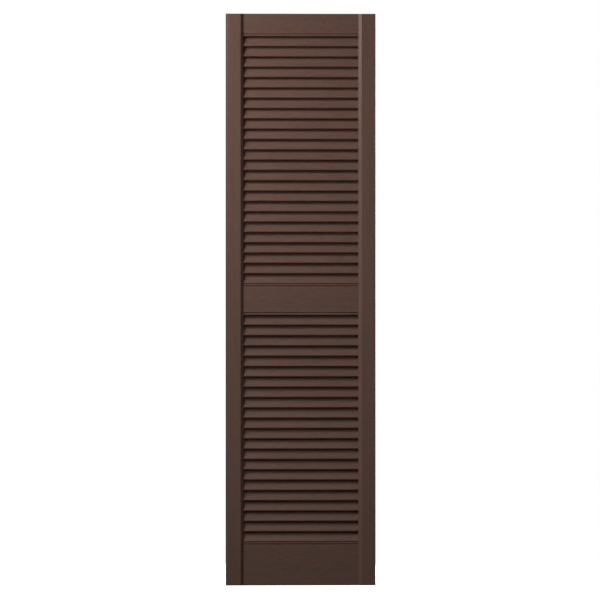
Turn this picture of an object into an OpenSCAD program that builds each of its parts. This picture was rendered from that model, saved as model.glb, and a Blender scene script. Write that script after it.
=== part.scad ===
// One leaf of a fixed louvred shutter: two stiles, three rails, and slats housed in the stiles.
// X runs across the leaf, the front faces -Y and up is +Z. The origin is the middle of the mid
// rail's back face, which is the face that lies against a wall.

/* [Leaf] */
// Width of the leaf across both stiles
leaf_w = 368; // [300:1:500]
// Width of each stile
stile_w = 42; // [40:1:70]
// Thickness of the stiles, front to back
stile_t = 30; // [29:0.5:36]
// Radius of the eased outer arrises of the stiles
arris_r = 2; // [1:0.5:3]
// Width of the bevel along each stile's inner front edge
bevel_w = 7.6; // [4:0.2:10]

/* [Rails] */
// Thickness of the rails, whose backs are flush with the backs of the stiles
rail_t = 24.5; // [24:0.5:26]
// Height of the top rail
top_rail_h = 55.6; // [50:0.2:90]
// Height of the mid rail
mid_rail_h = 76.2; // [64:0.2:120]
// Height of the bottom rail
bottom_rail_h = 106.4; // [90:0.2:160]
// Height of the bead along each rail edge that faces the slats
bead_h = 3.4; // [3:0.2:6]
// Radius of the bead's rounded front corner
bead_r = 1.4; // [1:0.2:2.4]
// Height of the V groove behind the bead
groove_h = 3.4; // [2:0.2:5]
// Depth of the V groove
groove_d = 2; // [1:0.2:3]

/* [Slats] */
// Number of slats above the mid rail
upper_count = 24; // [4:1:24]
// Number of slats below the mid rail
lower_count = 22; // [4:1:24]
// Spacing of the slats up the leaf
slat_pitch = 25.4; // [25:0.1:27]
// Width of a slat, from the front edge to the back edge
slat_w = 35; // [33:0.5:36]
// Thickness of a slat, which is also the diameter of its rounded edges
slat_t = 6; // [5.5:0.1:6.6]
// Slope of a slat, from level
slat_slope = 66; // [60:1:68]
// How far the slats' front edges stand behind the rails' faces
slat_setback = 0.5; // [0:0.1:0.8]

/* [Joints] */
// Depth of the mortises that hold the slats' ends
mortise_d = 8; // [6:0.5:10]
// Clearance all round a slat's end in its mortise, and beyond its end
mortise_gap = 0.15; // [0.1:0.05:0.3]
// Diameter of the dowels that join the rails to the stiles
dowel_d = 10; // [8:0.5:11]
// Length of a dowel
dowel_len = 58; // [50:1:60]
// How far a dowel reaches into the stile
dowel_in_stile = 26; // [20:1:30]
// Clearance all round a dowel in its hole
dowel_gap = 0.05; // [0.02:0.01:0.1]

/* [Hidden] */
$fn = 64;
// how far a cutting shape runs past what it cuts
past = 1;

bevel_d = stile_t - rail_t;
rail_len = leaf_w - 2 * stile_w;
slat_len = rail_len + 2 * (mortise_d - mortise_gap);
// the bottom slat of a bay clears the rail that it stands on by this much
slat_lift = 0.05;

// heights of the rails' edges
mid_top = mid_rail_h / 2;
mid_bottom = -mid_rail_h / 2;
upper_top = mid_top + upper_count * slat_pitch;
lower_bottom = mid_bottom - lower_count * slat_pitch;
leaf_top = upper_top + top_rail_h;
leaf_bottom = lower_bottom - bottom_rail_h;
leaf_h = leaf_top - leaf_bottom;

// A rebate behind the lower edge of the top and mid rails makes room for the slat below.
slat_rise = (slat_w - slat_t) * sin(slat_slope) + slat_t;
rebate_h = slat_rise - slat_pitch + slat_lift + 1.5;
rebate_lip = 7;

// dowels: spacing up the leaf, chamfer, and the depth to spare at each end of a hole
top_dowel_step = 24;
mid_dowel_step = 40;
bottom_dowel_step = 34;
dowel_chamfer = 1;
hole_spare = 1;

// middle height of the dowels in each rail, kept clear of the rebate below
top_dowel_z = upper_top + (top_rail_h + rebate_h) / 2;
mid_dowel_z = mid_bottom + (mid_rail_h + rebate_h) / 2;
bottom_dowel_z = lower_bottom - bottom_rail_h / 2;

top_dowels = [for (k = [-1 : 2 : 1]) top_dowel_z + k * top_dowel_step / 2];
mid_dowels = [for (k = [-1 : 2 : 1]) mid_dowel_z + k * mid_dowel_step / 2];
bottom_dowels = [for (k = [-1 : 1]) bottom_dowel_z + k * bottom_dowel_step];
all_dowels = concat(top_dowels, mid_dowels, bottom_dowels);

// Slats are numbered from the top of each bay; each height is that of the slat's lowest line.
upper_slats = [for (i = [1 : upper_count]) upper_top - i * slat_pitch + slat_lift];
lower_slats = [for (i = [1 : lower_count]) mid_bottom - i * slat_pitch + slat_lift];

function numbered(stem, i) = str(stem, i < 10 ? "0" : "", i);
upper_names = [for (i = [1 : upper_count]) numbered("slat_upper_", i)];
lower_names = [for (i = [1 : lower_count]) numbered("slat_lower_", i)];

finish_brown = [0.34, 0.26, 0.23];
bare_beech = [0.80, 0.66, 0.48];

// Runs a section along X, about x = 0. The section's own x is Y here, and its own y is Z.
module along_x(length) {
    translate([-length / 2, 0, 0])
        rotate([90, 0, 90])
            linear_extrude(length) children();
}

// Section of a slat whose lowest line is at height 0, made fatter all round by grow.
module slat_section(grow = 0) {
    span = slat_w - slat_t;
    r = slat_t / 2 + grow;
    translate([-rail_t + slat_setback + slat_t / 2, slat_t / 2])
        rotate(slat_slope) {
            translate([0, -r]) square([span, 2 * r]);
            circle(r);
            translate([span, 0]) circle(r);
        }
}

// Section of a stile seen from above, with its outer edge at x = 0 and its back at y = 0.
module stile_section() {
    difference() {
        union() {
            translate([0, arris_r - stile_t]) square([arris_r, stile_t - 2 * arris_r]);
            translate([arris_r, -stile_t]) square([stile_w - arris_r, stile_t]);
            translate([arris_r, -arris_r]) circle(arris_r);
            translate([arris_r, arris_r - stile_t]) circle(arris_r);
        }
        translate([stile_w, -stile_t])
            polygon([[-bevel_w, 0], [-bevel_w, -past], [past, -past], [past, bevel_d], [0, bevel_d]]);
    }
}

// What is taken off a rail's front at its lower edge: the bead's corner and the V groove above it.
module bead_cut() {
    translate([-rail_t, 0]) {
        difference() {
            translate([-past, -past]) square(bead_r + past);
            translate([bead_r, bead_r]) circle(bead_r);
        }
        translate([0, bead_h])
            polygon([[-past, 0], [0, 0], [groove_d, groove_h / 2], [0, groove_h], [-past, groove_h]]);
    }
}

// A rail from height bottom to height top. The beads are along the edges that face slats,
// and the rebate is behind a lower edge that has a slat below it.
module rail(bottom, top, bead_below, bead_above) {
    h = top - bottom;
    translate([0, 0, bottom])
        along_x(rail_len)
            difference() {
                translate([-rail_t, 0]) square([rail_t, h]);
                if (bead_below) {
                    bead_cut();
                    translate([-rail_t + rebate_lip, -past]) square([rail_t, rebate_h + past]);
                }
                if (bead_above) translate([0, h]) mirror([0, 1]) bead_cut();
            }
}

// Round bar along X at mid thickness of the rails, centred on the joint line at the given end.
module dowel_bar(side, z, r, in_stile, in_rail) {
    joint_x = side * rail_len / 2;
    translate([joint_x - side * in_rail, -rail_t / 2, z])
        rotate([0, side * 90, 0]) cylinder(h = in_stile + in_rail, r = r);
}

// Holes for dowels at the given heights, at one end of the rails.
module dowel_holes(side, heights) {
    for (z = heights)
        dowel_bar(
            side, z, dowel_d / 2 + dowel_gap,
            dowel_in_stile + hole_spare, dowel_len - dowel_in_stile + hole_spare
        );
}

// One dowel with chamfered ends, lying along X from the rail end of its hole.
module dowel(side, z) {
    r = dowel_d / 2;
    start_x = side * (rail_len / 2 + dowel_in_stile - dowel_len);
    translate([start_x, -rail_t / 2, z])
        rotate([0, side * 90, 0])
            rotate_extrude()
                polygon([
                    [0, 0], [r - dowel_chamfer, 0], [r, dowel_chamfer],
                    [r, dowel_len - dowel_chamfer], [r - dowel_chamfer, dowel_len], [0, dowel_len]
                ]);
}

module dowels(heights) {
    color(bare_beech)
        for (side = [-1, 1], z = heights) dowel(side, z);
}

// A stile, with a mortise for each slat and a hole for each dowel; side is -1 left, 1 right.
module stile(side) {
    color(finish_brown)
        difference() {
            translate([0, 0, leaf_bottom])
                linear_extrude(leaf_h)
                    if (side < 0) translate([-leaf_w / 2, 0]) stile_section();
                    else translate([leaf_w / 2, 0]) mirror([1, 0]) stile_section();
            translate([side * rail_len / 2, 0, 0])
                along_x(2 * mortise_d)
                    for (z = concat(upper_slats, lower_slats))
                        translate([0, z]) slat_section(mortise_gap);
            dowel_holes(side, all_dowels);
        }
}

module top_rail() {
    color(finish_brown)
        difference() {
            rail(upper_top, leaf_top, true, false);
            for (side = [-1, 1]) dowel_holes(side, top_dowels);
        }
}

module mid_rail() {
    color(finish_brown)
        difference() {
            rail(mid_bottom, mid_top, true, true);
            for (side = [-1, 1]) dowel_holes(side, mid_dowels);
        }
}

module bottom_rail() {
    color(finish_brown)
        difference() {
            rail(leaf_bottom, lower_bottom, false, true);
            for (side = [-1, 1]) dowel_holes(side, bottom_dowels);
        }
}

module slat(z) {
    color(finish_brown)
        translate([0, 0, z]) along_x(slat_len) slat_section();
}

stile(-1);  // left_stile
stile(1);  // right_stile
top_rail();
mid_rail();
bottom_rail();
dowels(top_dowels);  // top_rail_dowels
dowels(mid_dowels);  // mid_rail_dowels
dowels(bottom_dowels);  // bottom_rail_dowels
for (i = [0 : upper_count - 1])
    slat(upper_slats[i]);
for (i = [0 : lower_count - 1])
    slat(lower_slats[i]);
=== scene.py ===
# %% [markdown]
# # A louvred shutter
#
# The object is one leaf of a fixed louvred shutter, in a dark brown satin finish: two stiles,
# three rails, and forty-six sloping slats whose ends are housed in the stiles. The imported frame
# already says where each piece is and how large. Its nodes could be shown as they are, but most
# of their arrises are sharp and they have no surface of their own. So this lesson makes each
# piece again as a finished mesh with eased edges, gives it a wood surface, and lights it like a
# catalogue picture.

# %% Load the frame
import math

import bmesh
import bpy
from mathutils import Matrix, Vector


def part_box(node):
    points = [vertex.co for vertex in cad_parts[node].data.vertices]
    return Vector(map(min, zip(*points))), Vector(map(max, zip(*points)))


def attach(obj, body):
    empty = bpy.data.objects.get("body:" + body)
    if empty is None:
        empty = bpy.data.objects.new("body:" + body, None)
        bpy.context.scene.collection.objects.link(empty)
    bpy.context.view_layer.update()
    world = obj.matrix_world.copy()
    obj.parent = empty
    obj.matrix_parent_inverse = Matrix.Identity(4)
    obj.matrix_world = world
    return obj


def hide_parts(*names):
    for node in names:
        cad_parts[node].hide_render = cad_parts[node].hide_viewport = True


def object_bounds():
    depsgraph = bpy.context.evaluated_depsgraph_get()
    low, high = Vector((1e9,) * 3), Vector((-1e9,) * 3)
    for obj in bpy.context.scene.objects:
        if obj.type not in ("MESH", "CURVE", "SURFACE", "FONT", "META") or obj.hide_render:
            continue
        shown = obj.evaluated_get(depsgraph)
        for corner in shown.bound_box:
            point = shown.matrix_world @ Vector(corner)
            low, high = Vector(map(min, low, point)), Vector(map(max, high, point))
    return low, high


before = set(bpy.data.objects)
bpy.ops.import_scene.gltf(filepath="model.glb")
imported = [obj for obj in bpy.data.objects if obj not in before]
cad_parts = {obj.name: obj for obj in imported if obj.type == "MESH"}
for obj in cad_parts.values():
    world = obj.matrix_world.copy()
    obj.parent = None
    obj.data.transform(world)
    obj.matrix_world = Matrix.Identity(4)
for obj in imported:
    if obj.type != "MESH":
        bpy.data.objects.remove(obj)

MM = 0.001
ROOT = "root"
cad_low, cad_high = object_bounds()
print("leaf, width by thickness by height in mm:", [round(v / MM, 1) for v in cad_high - cad_low])

# %% [markdown]
# ## Measuring the frame
#
# A shutter's sizes could all be typed in again, but then the meshes would go wrong as soon as the
# frame changed. So every size that a box can tell is read from the frame. A box can't tell how a
# corner is shaped, so the small sizes of the joinery are named beside the piece that they belong
# to.

# %% Sizes read from the frame
stile_low, stile_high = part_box("left_stile")
rail_low, rail_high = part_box("mid_rail")
stile_w = stile_high.x - stile_low.x
rail_t = rail_high.y - rail_low.y
rail_len = rail_high.x - rail_low.x

upper_nodes = sorted(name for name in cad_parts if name.startswith("slat_upper_"))
lower_nodes = sorted(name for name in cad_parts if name.startswith("slat_lower_"))
slat_low, slat_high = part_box(upper_nodes[0])
slat_len = slat_high.x - slat_low.x
slat_pitch = slat_low.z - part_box(upper_nodes[1])[0].z
print("slats above and below the mid rail:", len(upper_nodes), len(lower_nodes))
print("slat pitch and length in mm:", round(slat_pitch / MM, 2), round(slat_len / MM, 2))

# %% Sizes of a slat
SLAT_T = 6.0 * MM
REBATE_CLEARANCE = 1.5 * MM

# A slat is a flat bar with round edges. Its box gives the slope once its thickness is known.
slat_run = slat_high.y - slat_low.y - SLAT_T
slat_rise = slat_high.z - slat_low.z - SLAT_T
slat_slope = math.atan2(slat_rise, slat_run)
slat_w = math.hypot(slat_run, slat_rise) + SLAT_T
rebate_h = slat_high.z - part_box("top_rail")[0].z + REBATE_CLEARANCE
print("slat slope in degrees:", round(math.degrees(slat_slope), 2))
print("slat width in mm:", round(slat_w / MM, 2), " rebate height:", round(rebate_h / MM, 2))

# %% [markdown]
# ## Small helpers for node trees
#
# Both the finishes and the slats are made by trees of nodes. Each link could be written out in
# full, but a tree is easier to read when a socket can be given either a number or another socket.
# These helpers do only that.

# %% Node helpers
def feed(tree, socket, value):
    """Gives a socket a constant, or links another socket into it."""
    if isinstance(value, bpy.types.NodeSocket):
        tree.links.new(value, socket)
    elif value is not None:
        socket.default_value = value


def add_node(tree, kind, inputs=None, **settings):
    """Adds a node, sets its options and feeds its inputs by name."""
    node = tree.nodes.new(kind)
    for option, value in settings.items():
        setattr(node, option, value)
    for name, value in (inputs or {}).items():
        feed(tree, node.inputs[name], value)
    return node


def calc(tree, operation, *values):
    """One step of arithmetic on numbers or sockets."""
    node = tree.nodes.new("ShaderNodeMath")
    node.operation = operation
    for socket, value in zip(node.inputs, values):
        feed(tree, socket, value)
    return node.outputs[0]


def vector_of(tree, x=0.0, y=0.0, z=0.0):
    """Three numbers or sockets as one vector."""
    return add_node(tree, "ShaderNodeCombineXYZ", {"X": x, "Y": y, "Z": z}).outputs[0]


def add_inputs(tree, sockets):
    """Declares named inputs and returns their outputs inside the tree."""
    for name, (kind, default) in sockets.items():
        socket = tree.interface.new_socket(name=name, in_out="INPUT", socket_type=kind)
        if default is not None:
            socket.default_value = default
    inside = tree.nodes.new("NodeGroupInput")
    return {name: inside.outputs[name] for name in sockets}


print("node helpers:", [f.__name__ for f in (feed, add_node, calc, vector_of, add_inputs)])

# %% [markdown]
# ## The finish
#
# The real surface is an opaque dark brown with a faint embossed grain. It may be painted timber
# or a moulding, and it is made here as an opaque film over open-grained timber. The colour hides
# the wood's own, but the grain still shows as short dashes and fine lines pressed into the film,
# which run along each board: upright in the stiles, level in the rails and slats. A picture of
# wood would repeat and would show its edges, so the grain is noise, drawn out along the board.
# Both directions use one node group. It always takes Z as the way the grain runs, and the
# material turns the coordinates before they go in.

# %% Node group: timber grain under a film
# width across and length along the grain of each kind of mark
FIGURE_SIZE = (9 * MM, 240 * MM)
LINE_SIZE = (2.6 * MM, 70 * MM)
DASH_SIZE = (1.9 * MM, 21 * MM)
WARMTH_SIZE = (14 * MM, 55 * MM)
DASH_EDGE = (0.56, 0.68)
LINE_ROUGHNESS = 0.6
LINE_RELIEF = 0.3
BOARD_SHIFT = (0.173, 0.311, 0.719)


def stretched_noise(tree, where, across, along, detail, roughness=0.5):
    """Noise drawn out along Z: about `across` wide and `along` long, in metres."""
    scaled = add_node(
        tree, "ShaderNodeVectorMath",
        {0: where, 1: (1 / across, 1 / across, 1 / along)},
        operation="MULTIPLY",
    ).outputs[0]
    return add_node(
        tree, "ShaderNodeTexNoise",
        {"Vector": scaled, "Scale": 1.0, "Detail": detail, "Roughness": roughness},
    ).outputs["Fac"]


def between(tree, value, low, high, to_low=0.0, to_high=1.0):
    """Maps low..high to to_low..to_high and stops at both ends."""
    return add_node(
        tree, "ShaderNodeMapRange",
        {"Value": value, "From Min": low, "From Max": high, "To Min": to_low, "To Max": to_high},
    ).outputs[0]


def make_grain_group():
    tree = bpy.data.node_groups.new("timber_grain", "ShaderNodeTree")
    given = add_inputs(tree, {
        "Position": ("NodeSocketVector", None),
        "Board": ("NodeSocketFloat", 0.0),
        "Figure": ("NodeSocketFloat", 0.16),
        "Dash Strength": ("NodeSocketFloat", 0.06),
        "Line Strength": ("NodeSocketFloat", 0.10),
    })
    for name in ("Tone", "Warmth", "Height", "Open Grain"):
        tree.interface.new_socket(name=name, in_out="OUTPUT", socket_type="NodeSocketFloat")

    # each board is cut from another place in the same imagined tree
    steps = [calc(tree, "MULTIPLY", given["Board"], step) for step in BOARD_SHIFT]
    shift = vector_of(tree, *steps)
    where = add_node(
        tree, "ShaderNodeVectorMath", {0: given["Position"], 1: shift}, operation="ADD"
    ).outputs[0]

    figure = stretched_noise(tree, where, *FIGURE_SIZE, 2.0)
    lines = stretched_noise(tree, where, *LINE_SIZE, 3.0, LINE_ROUGHNESS)
    dash_noise = stretched_noise(tree, where, *DASH_SIZE, 1.0)
    dashes = between(tree, dash_noise, *DASH_EDGE)
    warmth = stretched_noise(tree, where, *WARMTH_SIZE, 1.0)

    figure_part = calc(tree, "SUBTRACT", figure, 0.5)
    line_part = calc(tree, "SUBTRACT", lines, 0.5)
    tone = calc(tree, "MULTIPLY_ADD", figure_part, given["Figure"], 1.0)
    tone = calc(tree, "MULTIPLY_ADD", line_part, given["Line Strength"], tone)
    darker = calc(tree, "MULTIPLY", dashes, given["Dash Strength"])
    tone = calc(tree, "SUBTRACT", tone, darker)
    pressed_in = calc(tree, "MULTIPLY", dashes, -1.0)
    height = calc(tree, "MULTIPLY_ADD", lines, LINE_RELIEF, pressed_in)

    result = tree.nodes.new("NodeGroupOutput")
    feed(tree, result.inputs["Tone"], tone)
    feed(tree, result.inputs["Warmth"], calc(tree, "SUBTRACT", warmth, 0.5))
    feed(tree, result.inputs["Height"], height)
    feed(tree, result.inputs["Open Grain"], dashes)
    return tree


GRAIN = make_grain_group()
print("grain group outputs:", [s.name for s in GRAIN.interface.items_tree if s.in_out == "OUTPUT"])

# %% [markdown]
# The film over the grain is satin, but not evenly so. One roughness value would look like
# plastic, so a second group gives the slow drift in gloss that brushed paint has, and the faint
# orange peel that catches the light.

# %% Node group: brushed film
DRIFT_SIZE = (25 * MM, 90 * MM)
PEEL_SIZE = (1.2 * MM, 4 * MM)
DRIFT_EDGE = (0.3, 0.7)


def make_film_group():
    tree = bpy.data.node_groups.new("brushed_film", "ShaderNodeTree")
    given = add_inputs(tree, {
        "Position": ("NodeSocketVector", None),
        "Gloss Low": ("NodeSocketFloat", 0.38),
        "Gloss High": ("NodeSocketFloat", 0.50),
    })
    for name in ("Roughness", "Peel"):
        tree.interface.new_socket(name=name, in_out="OUTPUT", socket_type="NodeSocketFloat")
    drift = stretched_noise(tree, given["Position"], *DRIFT_SIZE, 2.0)
    peel = stretched_noise(tree, given["Position"], *PEEL_SIZE, 2.0)
    result = tree.nodes.new("NodeGroupOutput")
    rough = between(tree, drift, *DRIFT_EDGE, given["Gloss Low"], given["Gloss High"])
    feed(tree, result.inputs["Roughness"], rough)
    feed(tree, result.inputs["Peel"], peel)
    return tree


FILM = make_film_group()
print("film group outputs:", [s.name for s in FILM.interface.items_tree if s.in_out == "OUTPUT"])

# %% [markdown]
# Two materials share the finish. The grain runs up the leaf in one and across it in the other,
# where the object coordinates are turned before they go in. One material with a switch would do
# the same, but two are plainer to read. The upright one shows more lines and the level one more
# dashes. A slat also carries two values of its own, a board number and a shade, which the
# Geometry Nodes store.

# %% Materials: the brown finish, upright and level
BROWN = (0.115, 0.0610, 0.0440)
WARM = (1.055, 0.985, 0.965)
COOL = (0.96, 1.015, 1.03)
TINT_REACH = 0.16
SHADE_SPREAD = 0.03
PEEL_RELIEF = 0.12
RELIEF = 0.14 * MM
SPECULAR = 0.35


def group_node(tree, group, inputs):
    node = tree.nodes.new("ShaderNodeGroup")
    node.node_tree = group
    for name, value in inputs.items():
        feed(tree, node.inputs[name], value)
    return node


def object_position(tree, turn):
    """Object coordinates, turned so that Z runs along the grain."""
    coordinates = tree.nodes.new("ShaderNodeTexCoord")
    mapping = add_node(tree, "ShaderNodeMapping", {"Vector": coordinates.outputs["Object"]})
    mapping.inputs["Rotation"].default_value = turn
    return mapping.outputs[0]


def multiply_colour(tree, colour, by):
    """A colour times another colour or a grey value."""
    return add_node(
        tree, "ShaderNodeVectorMath", {0: colour, 1: by}, operation="MULTIPLY"
    ).outputs[0]


def stored_value(tree, name):
    node = tree.nodes.new("ShaderNodeAttribute")
    node.attribute_name = name
    return node.outputs["Fac"]


def make_finish(name, turn, figure, dash_strength, line_strength):
    """The brown finish, with strengths of its own for the broad figure, dashes and lines."""
    material = bpy.data.materials.new(name)
    material.use_nodes = True
    tree = material.node_tree
    shader = tree.nodes["Principled BSDF"]
    position = object_position(tree, turn)
    grain = group_node(tree, GRAIN, {
        "Position": position,
        "Board": stored_value(tree, "board"),
        "Figure": figure,
        "Dash Strength": dash_strength,
        "Line Strength": line_strength,
    })
    film = group_node(tree, FILM, {"Position": position})

    drift = between(tree, grain.outputs["Warmth"], -TINT_REACH, TINT_REACH)
    tint = add_node(
        tree, "ShaderNodeMix",
        {0: drift, 6: (*COOL, 1), 7: (*WARM, 1)},
        data_type="RGBA",
    ).outputs[2]
    own = stored_value(tree, "shade")
    tone = calc(tree, "MULTIPLY_ADD", own, SHADE_SPREAD, grain.outputs["Tone"])
    grey = vector_of(tree, tone, tone, tone)
    colour = multiply_colour(tree, multiply_colour(tree, tint, BROWN), grey)
    feed(tree, shader.inputs["Base Color"], colour)
    feed(tree, shader.inputs["Roughness"], film.outputs["Roughness"])

    height = calc(tree, "MULTIPLY_ADD", film.outputs["Peel"], PEEL_RELIEF, grain.outputs["Height"])
    bumps = add_node(
        tree, "ShaderNodeBump", {"Height": height, "Strength": 1.0, "Distance": RELIEF}
    )
    feed(tree, shader.inputs["Normal"], bumps.outputs["Normal"])
    shader.inputs["Specular IOR Level"].default_value = SPECULAR
    return material


GRAIN_UPRIGHT = (0.0, 0.0, 0.0)
GRAIN_LEVEL = (0.0, math.radians(90), 0.0)
finish_upright = make_finish("brown_finish_upright", GRAIN_UPRIGHT, 0.26, 0.05, 0.20)
finish_level = make_finish("brown_finish_level", GRAIN_LEVEL, 0.20, 0.22, 0.14)
print("materials:", finish_upright.name, finish_level.name)

# %% [markdown]
# The dowels are bare beech: pale, close-grained and a little darker in the flecks. They are out
# of sight inside the joints and could be left plain, but they show as soon as the leaf is taken
# apart. The same grain group serves, with other strengths and no film.

# %% Material: bare beech
BEECH = (0.60, 0.40, 0.20)
BEECH_ROUGH = (0.62, 0.75)


def make_beech():
    material = bpy.data.materials.new("dowel_beech")
    material.use_nodes = True
    tree = material.node_tree
    shader = tree.nodes["Principled BSDF"]
    position = object_position(tree, GRAIN_LEVEL)
    grain = group_node(tree, GRAIN, {"Position": position, "Figure": 0.25, "Dash Strength": 0.12})
    tone = grain.outputs["Tone"]
    colour = multiply_colour(tree, vector_of(tree, tone, tone, tone), BEECH)
    feed(tree, shader.inputs["Base Color"], colour)
    rough = between(tree, grain.outputs["Open Grain"], 0.0, 1.0, *BEECH_ROUGH)
    feed(tree, shader.inputs["Roughness"], rough)
    return material


beech = make_beech()
print("material:", beech.name)

# %% [markdown]
# ## Section drawings
#
# A stile and a rail are both one section run out to length, as a spindle moulder cuts them. They
# could be carved from boxes with Booleans, but a drawn section keeps the mesh clean. The section
# is a short list of corners, each with a radius. A corner with a radius becomes an arc.

# %% Rounding the corners of a section
ARC_STEP = math.radians(11.25)


def rounded(corners):
    """Turns corners (x, y, radius), in order round the section, into points with arcs."""
    points = []
    count = len(corners)
    for i, (x, y, radius) in enumerate(corners):
        here = Vector((x, y))
        if radius == 0:
            points.append(here)
            continue
        back = (Vector(corners[i - 1][:2]) - here).normalized()
        on = (Vector(corners[(i + 1) % count][:2]) - here).normalized()
        half = back.angle(on) / 2
        centre = here + (back + on).normalized() * radius / math.sin(half)
        start = here + back * radius / math.tan(half) - centre
        end = here + on * radius / math.tan(half) - centre
        sweep = start.angle_signed(end)
        steps = max(2, round(abs(sweep) / ARC_STEP))
        for k in range(steps + 1):
            turn = -sweep * k / steps
            points.append(centre + Vector((
                start.x * math.cos(turn) - start.y * math.sin(turn),
                start.x * math.sin(turn) + start.y * math.cos(turn),
            )))
    return points


def run_out(name, section, low, high, place):
    """A closed bar: the section's points at low and high, put in place by place(x, y, along)."""
    count = len(section)
    verts = [place(p.x, p.y, along) for along in (low, high) for p in section]
    sides = [(i, (i + 1) % count, count + (i + 1) % count, count + i) for i in range(count)]
    ends = [tuple(range(count))[::-1], tuple(range(count, 2 * count))]
    mesh = bpy.data.meshes.new(name)
    mesh.from_pydata(verts, [], sides + ends)
    bm = bmesh.new()
    bm.from_mesh(mesh)
    bmesh.ops.recalc_face_normals(bm, faces=bm.faces)
    bm.to_mesh(mesh)
    bm.free()
    piece = bpy.data.objects.new(name, mesh)
    bpy.context.scene.collection.objects.link(piece)
    return piece

# %% [markdown]
# ## Finishing a mesh
#
# Modifiers do what a bench does: a Bevel eases the sharp arrises, and a Boolean cuts mortises and
# dowel holes. Afterwards the result becomes the piece's own mesh. Faces are shaded smooth over
# the small curves, sharp at real corners, and Weighted Normal keeps the broad faces flat beside
# them.

# %% Finishing helpers
EASE = 0.4 * MM
EASE_FROM = math.radians(30)
SHARP_FROM = math.radians(40)


def settle(piece, *materials):
    """Makes the modifiers' result the piece's own mesh, with the given materials."""
    bpy.context.view_layer.update()
    graph = bpy.context.evaluated_depsgraph_get()
    mesh = bpy.data.meshes.new_from_object(piece.evaluated_get(graph))
    piece.modifiers.clear()
    piece.data = mesh
    mesh.name = piece.name
    if materials:
        mesh.materials.clear()
        for material in materials:
            mesh.materials.append(material)


def ease(piece):
    """Rounds over every sharp arris by a hair, as abrasive does."""
    bevel = piece.modifiers.new("eased arrises", "BEVEL")
    bevel.width = EASE
    bevel.segments = 2
    bevel.limit_method = "ANGLE"
    bevel.angle_limit = EASE_FROM
    settle(piece)


def cut(piece, *tools):
    """Cuts each tool's shape out of the piece."""
    for tool in tools:
        boolean = piece.modifiers.new("cut " + tool.name, "BOOLEAN")
        boolean.operation = "DIFFERENCE"
        boolean.solver = "EXACT"
        boolean.object = tool
    settle(piece)


def shade(piece):
    """Smooth over the curves, sharp at the corners, flat across the broad faces."""
    mesh = piece.data
    mesh.shade_smooth()
    mesh.set_sharp_from_angle(angle=SHARP_FROM)
    normals = piece.modifiers.new("even normals", "WEIGHTED_NORMAL")
    normals.keep_sharp = True
    settle(piece)


def report(piece):
    """Prints a piece's size and how many faces it has."""
    low = Vector(map(min, zip(*(v.co for v in piece.data.vertices))))
    high = Vector(map(max, zip(*(v.co for v in piece.data.vertices))))
    size = [round(v / MM, 1) for v in high - low]
    print(f"{piece.name}: {size} mm, {len(piece.data.polygons)} faces")

# %% [markdown]
# ## The slats
#
# Forty-six slats differ only in where they sit. A loop could copy one, but Geometry Nodes keep
# the rule in one tree that makes a whole bay. Inside the tree a rectangle is rounded to the
# slat's section, run out to length, tilted, and put on a column of points one pitch apart. Each
# slat is given its own board number and a slightly different shade before the copies become one
# real mesh. The same tree, a hair fatter, is the tool that cuts the mortises.

# %% Geometry Nodes tree: a bay of slats
EDGE_STEPS = 8
# a hair under half, so that the two arcs of an edge don't end in the same point
FULL_ROUND = 0.4999


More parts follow.
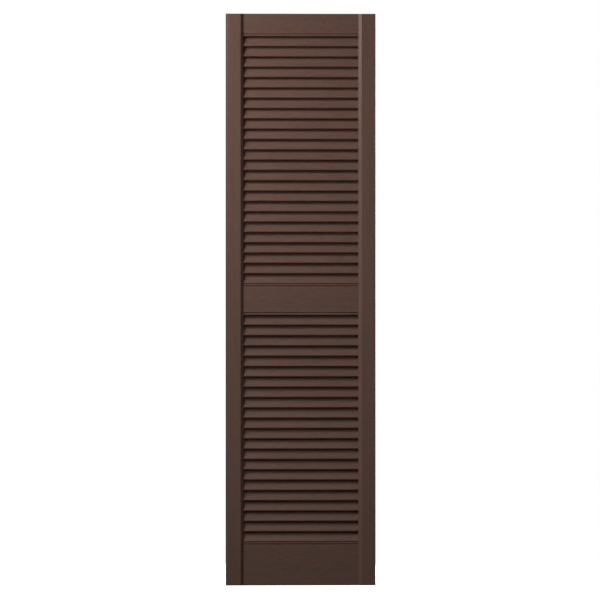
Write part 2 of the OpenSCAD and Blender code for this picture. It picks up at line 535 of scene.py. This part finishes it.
def make_slat_tree():
    tree = bpy.data.node_groups.new("bay_of_slats", "GeometryNodeTree")
    tree.is_modifier = True
    given = add_inputs(tree, {
        "Count": ("NodeSocketInt", 24),
        "Pitch": ("NodeSocketFloat", 25.4 * MM),
        "Length": ("NodeSocketFloat", 300 * MM),
        "Width": ("NodeSocketFloat", 35 * MM),
        "Thickness": ("NodeSocketFloat", 6 * MM),
        "Slope": ("NodeSocketFloat", math.radians(66)),
        "Edge Steps": ("NodeSocketInt", EDGE_STEPS),
        "Top Nose": ("NodeSocketVector", None),
        "First Board": ("NodeSocketInt", 1),
        "Shade Seed": ("NodeSocketInt", 1),
        "Finish": ("NodeSocketMaterial", None),
    })
    tree.interface.new_socket(name="Geometry", in_out="OUTPUT", socket_type="NodeSocketGeometry")

    # the section: a rectangle with fully rounded edges, its front edge's centre at the origin
    radius = calc(tree, "MULTIPLY", given["Thickness"], FULL_ROUND)
    bar = add_node(
        tree, "GeometryNodeCurvePrimitiveQuadrilateral",
        {"Width": given["Width"], "Height": given["Thickness"]},
    )
    section = add_node(
        tree, "GeometryNodeFilletCurve",
        {
            "Curve": bar.outputs[0],
            "Count": given["Edge Steps"],
            "Radius": radius,
            "Limit Radius": True,
        },
        mode="POLY",
    )
    flat = calc(tree, "SUBTRACT", given["Width"], given["Thickness"])
    to_nose = calc(tree, "MULTIPLY", flat, 0.5)
    at_nose = add_node(
        tree, "GeometryNodeTransform",
        {"Geometry": section.outputs[0], "Translation": vector_of(tree, to_nose)},
    )
    tilted = add_node(
        tree, "GeometryNodeTransform",
        {"Geometry": at_nose.outputs[0], "Rotation": vector_of(tree, 0.0, 0.0, given["Slope"])},
    )

    # run out along the third axis, then turned so that the length is X and the section is Y and Z
    half = calc(tree, "MULTIPLY", given["Length"], 0.5)
    path = add_node(
        tree, "GeometryNodeCurvePrimitiveLine",
        {
            "Start": vector_of(tree, 0.0, 0.0, calc(tree, "MULTIPLY", half, -1.0)),
            "End": vector_of(tree, 0.0, 0.0, half),
        },
    )
    run = add_node(
        tree, "GeometryNodeCurveToMesh",
        {"Curve": path.outputs[0], "Profile Curve": tilted.outputs[0], "Fill Caps": True},
    )
    turned = add_node(
        tree, "GeometryNodeTransform",
        {"Geometry": run.outputs[0], "Rotation": (math.radians(90), 0.0, math.radians(90))},
    )

    # one slat on each point of a column that goes down from the top one
    column = add_node(
        tree, "GeometryNodeMeshLine",
        {
            "Count": given["Count"],
            "Start Location": given["Top Nose"],
            "Offset": vector_of(tree, 0.0, 0.0, calc(tree, "MULTIPLY", given["Pitch"], -1.0)),
        },
    )
    slats = add_node(
        tree, "GeometryNodeInstanceOnPoints",
        {"Points": column.outputs[0], "Instance": turned.outputs[0]},
    )
    index = tree.nodes.new("GeometryNodeInputIndex").outputs[0]
    random = add_node(
        tree, "FunctionNodeRandomValue",
        {2: -1.0, 3: 1.0, "ID": index, "Seed": given["Shade Seed"]},
        data_type="FLOAT",
    )
    numbered = add_node(
        tree, "GeometryNodeStoreNamedAttribute",
        {
            "Geometry": slats.outputs[0],
            "Name": "board",
            "Value": calc(tree, "ADD", index, given["First Board"]),
        },
        data_type="FLOAT", domain="INSTANCE",
    )
    shaded = add_node(
        tree, "GeometryNodeStoreNamedAttribute",
        {"Geometry": numbered.outputs[0], "Name": "shade", "Value": random.outputs[1]},
        data_type="FLOAT", domain="INSTANCE",
    )
    real = add_node(tree, "GeometryNodeRealizeInstances", {"Geometry": shaded.outputs[0]})
    finished = add_node(
        tree, "GeometryNodeSetMaterial",
        {"Geometry": real.outputs[0], "Material": given["Finish"]},
    )
    feed(tree, tree.nodes.new("NodeGroupOutput").inputs[0], finished.outputs[0])
    return tree


SLATS = make_slat_tree()
slat_inputs = [s.name for s in SLATS.interface.items_tree if s.in_out == "INPUT"]
print("inputs of the slat tree:", slat_inputs)

# %% [markdown]
# Each slat could be placed from its own box, but they are one pitch apart, so the tree only needs
# the place of the topmost one. The slats also drop by a hair, so that the lowest of each bay
# rests on its rail and shuts the gap.

# %% Making a bay from the tree
SLAT_REST = 0.07 * MM


def make_bay(name, nodes, first_board, length=slat_len, grow=0.0):
    """A bay of slats where the frame has these nodes; grow fattens them all round."""
    top_low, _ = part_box(nodes[0])
    nose = Vector((0.0, top_low.y + SLAT_T / 2, top_low.z + SLAT_T / 2 - SLAT_REST))
    values = {
        "Count": len(nodes),
        "Pitch": slat_pitch,
        "Length": length,
        "Width": slat_w + 2 * grow,
        "Thickness": SLAT_T + 2 * grow,
        "Slope": slat_slope,
        "Edge Steps": EDGE_STEPS,
        "Top Nose": nose,
        "First Board": first_board,
        "Shade Seed": first_board,
        "Finish": finish_level,
    }
    piece = bpy.data.objects.new(name, bpy.data.meshes.new(name))
    bpy.context.scene.collection.objects.link(piece)
    modifier = piece.modifiers.new("slats", "NODES")
    modifier.node_group = SLATS
    for socket in SLATS.interface.items_tree:
        if socket.in_out == "INPUT":
            modifier[socket.identifier] = values[socket.name]
    settle(piece)
    return piece


upper_slats = make_bay("upper_slats", upper_nodes, 1)
lower_slats = make_bay("lower_slats", lower_nodes, 31)
for bay in (upper_slats, lower_slats):
    shade(bay)
    report(bay)

# %% [markdown]
# ## Tools for the joints
#
# Each slat is housed in a mortise and each rail sits on dowels. The holes could be left out,
# since the assembled leaf hides them, but the stiles are pieces in their own right and need them.
# The mortise cutters are bays of slats, fatter by the clearance and long enough to reach the
# bottom of the mortises. The dowel cutters are the dowels' own meshes swollen by the clearance. A
# frame mesh is loose triangles, so its copy is merged before the Boolean uses it.

# %% Mortise and dowel cutters
MORTISE_D = 8.0 * MM
MORTISE_GAP = 0.15 * MM
DOWEL_GAP = 0.05 * MM
MERGE_WITHIN = 0.001 * MM
JOINTED = ("top_rail", "mid_rail", "bottom_rail")

housed_len = rail_len + 2 * MORTISE_D
mortise_tools = [
    make_bay("upper_mortises", upper_nodes, 1, housed_len, MORTISE_GAP),
    make_bay("lower_mortises", lower_nodes, 1, housed_len, MORTISE_GAP),
]


def swollen_copy(node, gap):
    """A merged copy of a frame node, with every wall moved out by gap."""
    bm = bmesh.new()
    bm.from_mesh(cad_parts[node].data)
    bmesh.ops.remove_doubles(bm, verts=bm.verts, dist=MERGE_WITHIN)
    bm.normal_update()
    moves = [(v, v.normal * gap * v.calc_shell_factor()) for v in bm.verts]
    for vertex, move in moves:
        vertex.co += move
    mesh = bpy.data.meshes.new(node + "_holes")
    bm.to_mesh(mesh)
    bm.free()
    tool = bpy.data.objects.new(mesh.name, mesh)
    bpy.context.scene.collection.objects.link(tool)
    return tool


dowel_tools = {rail: swollen_copy(rail + "_dowels", DOWEL_GAP) for rail in JOINTED}
print("cutters:", [tool.name for tool in mortise_tools + list(dowel_tools.values())])

# %% [markdown]
# ## The stiles
#
# A stile runs the full height, and its front stands proud of the rails. Its outer arrises are
# rounded, and a bevel along the inner front arris falls back to the level of the rails. The bevel
# runs straight past them to both ends. The right stile could be a mirrored copy, but that turns
# its faces inside out, so the section is drawn again with its sides swapped.

# %% Stiles
STILE_ARRIS = 2.0 * MM
STILE_BEVEL = 7.6 * MM


def make_stile(name, node, side):
    """side is -1 for the left stile and 1 for the right one."""
    low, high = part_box(node)
    outer = side * max(abs(low.x), abs(high.x))
    inner = outer - side * stile_w
    section = rounded([
        (outer, high.y, STILE_ARRIS),
        (outer, low.y, STILE_ARRIS),
        (inner + side * STILE_BEVEL, low.y, 0),
        (inner, high.y - rail_t, 0),
        (inner, high.y, 0),
    ])
    piece = run_out(name, section, low.z, high.z, lambda x, y, along: (x, y, along))
    ease(piece)
    cut(piece, *mortise_tools, *dowel_tools.values())
    settle(piece, finish_upright)
    shade(piece)
    report(piece)
    return piece


left_stile = make_stile("left_stile_board", "left_stile", -1)
right_stile = make_stile("right_stile_board", "right_stile", 1)

# %% [markdown]
# ## The rails
#
# Along each edge that faces slats, a rail has a bead with a V groove behind it. The bead's corner
# is rounded. A rail with slats below it is also rebated behind its lower edge, where the topmost
# slat passes up behind the bead. All this is in the section, so no cut is needed but the dowel
# holes.

# %% Rails
BEAD_H = 3.4 * MM
BEAD_R = 1.4 * MM
GROOVE_H = 3.4 * MM
GROOVE_D = 2.0 * MM
REBATE_LIP = 7.0 * MM


def bead_corners(edge, inward, front):
    """Corners along a beaded edge, from the edge's corner into the rail; inward is 1 or -1."""
    return [
        (front, edge, BEAD_R),
        (front, edge + inward * BEAD_H, 0),
        (front + GROOVE_D, edge + inward * (BEAD_H + GROOVE_H / 2), 0),
        (front, edge + inward * (BEAD_H + GROOVE_H), 0),
    ]


def make_rail(name, node, bead_below, bead_above):
    low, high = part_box(node)
    front, back = low.y, high.y
    corners = []
    if bead_below:
        corners += [
            (back, low.z + rebate_h, 0),
            (front + REBATE_LIP, low.z + rebate_h, 0),
            (front + REBATE_LIP, low.z, 0),
            *bead_corners(low.z, 1, front),
        ]
    else:
        corners += [(back, low.z, 0), (front, low.z, 0)]
    if bead_above:
        corners += [*bead_corners(high.z, -1, front)[::-1], (back, high.z, 0)]
    else:
        corners += [(front, high.z, 0), (back, high.z, 0)]
    piece = run_out(name, rounded(corners), low.x, high.x, lambda y, z, along: (along, y, z))
    ease(piece)
    cut(piece, dowel_tools[node])
    settle(piece, finish_level)
    shade(piece)
    report(piece)
    return piece


top_rail = make_rail("top_rail_board", "top_rail", True, False)
mid_rail = make_rail("mid_rail_board", "mid_rail", True, True)
bottom_rail = make_rail("bottom_rail_board", "bottom_rail", False, True)

# %% [markdown]
# ## Joining the pieces to the frame
#
# Each finished mesh stands for the frame nodes of the same piece and rides on the one body. The
# dowels keep their own meshes, because their shape is already right, and only get their wood.

# %% Pieces stand for nodes
stands_for = {
    left_stile: ["left_stile"],
    right_stile: ["right_stile"],
    top_rail: ["top_rail"],
    mid_rail: ["mid_rail"],
    bottom_rail: ["bottom_rail"],
    upper_slats: upper_nodes,
    lower_slats: lower_nodes,
}
for tool in mortise_tools + list(dowel_tools.values()):
    bpy.data.objects.remove(tool)
for piece, nodes in stands_for.items():
    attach(piece, ROOT)
    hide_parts(*nodes)
for rail in dowel_tools:
    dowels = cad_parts[rail + "_dowels"]
    for i in range(len(dowels.material_slots)):
        dowels.material_slots[i].material = beech
print("pieces:", [piece.name for piece in stands_for])

# %% [markdown]
# ## The studio
#
# The leaf stands on a pale floor in front of a white ground. The camera is far away with a long
# lens, a little to the left, so the leaf is almost a flat elevation and a sliver of its left edge
# shows. A parallel camera would give nearly the same picture, but a long lens is how it would be
# taken.

# %% Camera
CAMERA_TURN = math.radians(-5.7)
CAMERA_DISTANCE = 36.0
VIEW_HEIGHT = 1.4766
AIM_SHIFT = Vector((-1.5, 0.0, -1.0)) * MM

leaf_middle = (cad_low + cad_high) / 2
aim = Vector((leaf_middle.x, cad_low.y / 2, leaf_middle.z)) + AIM_SHIFT
towards_camera = Vector((math.sin(CAMERA_TURN), -math.cos(CAMERA_TURN), 0.0))
lens = bpy.data.cameras.new("camera")
lens.sensor_width = 36.0
lens.lens = lens.sensor_width * CAMERA_DISTANCE / VIEW_HEIGHT
lens.clip_start = 1.0
lens.clip_end = 2 * CAMERA_DISTANCE
camera = bpy.data.objects.new("camera", lens)
bpy.context.scene.collection.objects.link(camera)
camera.location = aim + towards_camera * CAMERA_DISTANCE
camera.rotation_mode = "QUATERNION"
camera.rotation_quaternion = (-towards_camera).to_track_quat("-Z", "Y")
bpy.context.scene.camera = camera
print("lens in mm:", round(lens.lens))

# %% [markdown]
# A large softbox high on the left does most of the work: it makes the left and top of the leaf
# brighter, the right bevel light and the left bevel dark. Weaker boxes open up the shadows. One
# more stands behind for views of the back. A sun lamp would be simpler, but its shadows are hard
# and a catalogue picture's are soft.

# %% Lights
def around(distance, turn, height):
    """A place round the leaf: turn is in degrees, 0 in front of it and negative to the left."""
    angle = math.radians(turn)
    return Vector((distance * math.sin(angle), -distance * math.cos(angle), height))


def add_softbox(name, place, size, power):
    light = bpy.data.lights.new(name, "AREA")
    light.shape = "RECTANGLE"
    light.size, light.size_y = size
    light.energy = power
    box = bpy.data.objects.new(name, light)
    bpy.context.scene.collection.objects.link(box)
    box.location = place
    box.rotation_mode = "QUATERNION"
    box.rotation_quaternion = (leaf_middle - place).to_track_quat("-Z", "Y")


add_softbox("near key", around(0.9, -60, 0.9), (0.35, 0.35), 5.0)
add_softbox("high key", around(2.6, -48, 2.3), (1.4, 1.0), 67.0)
add_softbox("middle fill", around(2.6, -40, 0.9), (1.0, 1.0), 13.3)
add_softbox("side", around(1.3, -60, 0.9), (0.5, 0.5), 1.8)
add_softbox("front fill", around(1.3, 0, 0.3), (0.5, 0.5), 1.1)
add_softbox("low fill", around(1.3, 0, -0.4), (1.0, 0.6), 1.05)
add_softbox("back", around(2.6, 145, 0.5), (1.6, 1.6), 60.0)

# %% [markdown]
# The world is white where the camera sees it and dim where it lights the leaf. The floor does the
# same: the camera sees it pale and it joins the white ground with no line, but the leaf is lit as
# if black cloth lay there. A plain white floor would be simpler, but it throws so much light
# upwards that the foot of the leaf comes out too bright.

# %% World and floor
FILL = 0.02
FLOOR_GLOW = 1.0
PALE = 0.85
DARK = 0.03
FLOOR_REACH = 3.0
FLOOR_ROUGHNESS = 0.9
WHITE = (1.0, 1.0, 1.0, 1.0)


def make_world():
    world = bpy.data.worlds.new("studio")
    bpy.context.scene.world = world
    world.use_nodes = True
    tree = world.node_tree
    tree.nodes.clear()
    seen = tree.nodes.new("ShaderNodeLightPath").outputs["Is Camera Ray"]
    dim = add_node(tree, "ShaderNodeBackground", {"Color": WHITE, "Strength": FILL})
    bright = add_node(tree, "ShaderNodeBackground", {"Color": WHITE, "Strength": 1.0})
    mix = add_node(tree, "ShaderNodeMixShader", {0: seen, 1: dim.outputs[0], 2: bright.outputs[0]})
    end = tree.nodes.new("ShaderNodeOutputWorld")
    feed(tree, end.inputs["Surface"], mix.outputs[0])


def make_floor():
    around_it = ((-1, -1), (1, -1), (1, 1), (-1, 1))
    corners = [(x * FLOOR_REACH, y * FLOOR_REACH, cad_low.z) for x, y in around_it]
    mesh = bpy.data.meshes.new("floor")
    mesh.from_pydata(corners, [], [(0, 1, 2, 3)])
    floor = bpy.data.objects.new("floor", mesh)
    bpy.context.scene.collection.objects.link(floor)
    material = bpy.data.materials.new("floor_pale")
    material.use_nodes = True
    tree = material.node_tree
    shader = tree.nodes["Principled BSDF"]
    shader.inputs["Roughness"].default_value = FLOOR_ROUGHNESS
    shader.inputs["Emission Color"].default_value = WHITE
    seen = tree.nodes.new("ShaderNodeLightPath").outputs["Is Camera Ray"]
    grey = between(tree, seen, 0.0, 1.0, DARK, PALE)
    feed(tree, shader.inputs["Base Color"], vector_of(tree, grey, grey, grey))
    feed(tree, shader.inputs["Emission Strength"], calc(tree, "MULTIPLY", seen, FLOOR_GLOW))
    mesh.materials.append(material)


make_world()
make_floor()
bpy.context.scene.view_settings.view_transform = "Standard"
print("floor at z in mm:", round(cad_low.z / MM, 1))
